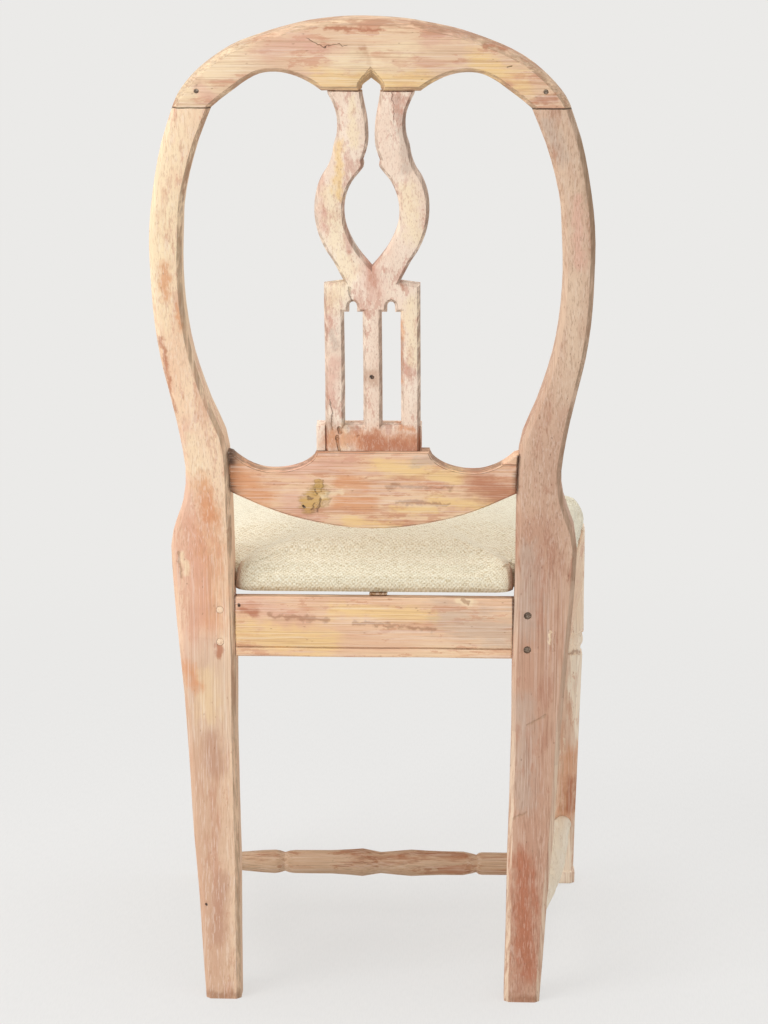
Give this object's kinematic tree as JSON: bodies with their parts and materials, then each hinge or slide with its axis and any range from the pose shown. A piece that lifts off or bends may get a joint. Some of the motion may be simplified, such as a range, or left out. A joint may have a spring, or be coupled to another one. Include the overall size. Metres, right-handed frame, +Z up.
{
  "type": "balloon back chair",
  "caption": "Balloon back side chair with a pierced lyre splat, pegged mortise and tenon frame, turned stretchers and a lift-out slip seat.",
  "frame": {"origin": "on the floor, under the middle of the chair's bounding box", "axes": "+Z up, the sitter faces -Y, +X is the sitter's left"},
  "size_m": [0.4387, 0.4988, 0.9681],
  "materials": {
    "post": "stripped and worn, with a pink stain left",
    "crest": "stripped and sanded",
    "splat": "stripped and sanded",
    "lower_rail": "stripped, with orange paint left in the grain",
    "rail": "stripped, rough sawn",
    "leg": "stripped and worn",
    "stretcher": "turned, worn and grey",
    "pale_stretcher": "turned and stripped",
    "peg": "riven, end grain",
    "dark_peg": "riven, darkened",
    "batten": "rough sawn",
    "webbing": "jute",
    "linen": "natural linen"
  },
  "bodies": {
    "chair_frame": {"left_back_post": "post", "right_back_post": "post", "rear_seat_rail": "rail", "front_seat_rail": "rail", "left_seat_rail": "rail", "right_seat_rail": "rail", "left_front_leg": "leg", "right_front_leg": "leg", "left_side_stretcher": "pale_stretcher", "right_side_stretcher": "pale_stretcher", "cross_stretcher": "stretcher", "rear_packing_block": "dark_peg", "crest_rail": "crest", "back_splat": "splat", "splat_shoe": "lower_rail", "lower_back_rail": "lower_rail", "lower_rail_patch": "lower_rail", "left_crest_peg": "dark_peg", "right_crest_peg": "dark_peg", "left_front_rail_peg_1": "peg", "left_front_rail_peg_2": "peg", "right_front_rail_peg_1": "peg", "right_front_rail_peg_2": "peg", "left_side_rail_front_peg_1": "peg", "left_side_rail_front_peg_2": "peg", "right_side_rail_front_peg_1": "peg", "right_side_rail_front_peg_2": "peg", "left_side_rail_rear_peg_1": "peg", "left_side_rail_rear_peg_2": "peg", "right_side_rail_rear_peg_1": "peg", "right_side_rail_rear_peg_2": "peg", "left_rear_rail_peg_1": "peg", "left_rear_rail_peg_2": "peg", "right_rear_rail_peg_1": "dark_peg", "right_rear_rail_peg_2": "dark_peg"},
    "slip_seat": {"seat_cushion": "linen", "seat_front_batten": "batten", "seat_rear_batten": "batten", "seat_left_batten": "batten", "seat_right_batten": "batten", "cross_webbing_1": "webbing", "cross_webbing_2": "webbing", "cross_webbing_3": "webbing", "long_webbing_1": "webbing", "long_webbing_2": "webbing", "long_webbing_3": "webbing"}
  },
  "joints": [
    {"name": "seat_lift", "type": "slide", "parent": "chair_frame", "child": "slip_seat", "axis": [0, 0, 1], "range_m": [0, 0.15]}
  ]
}
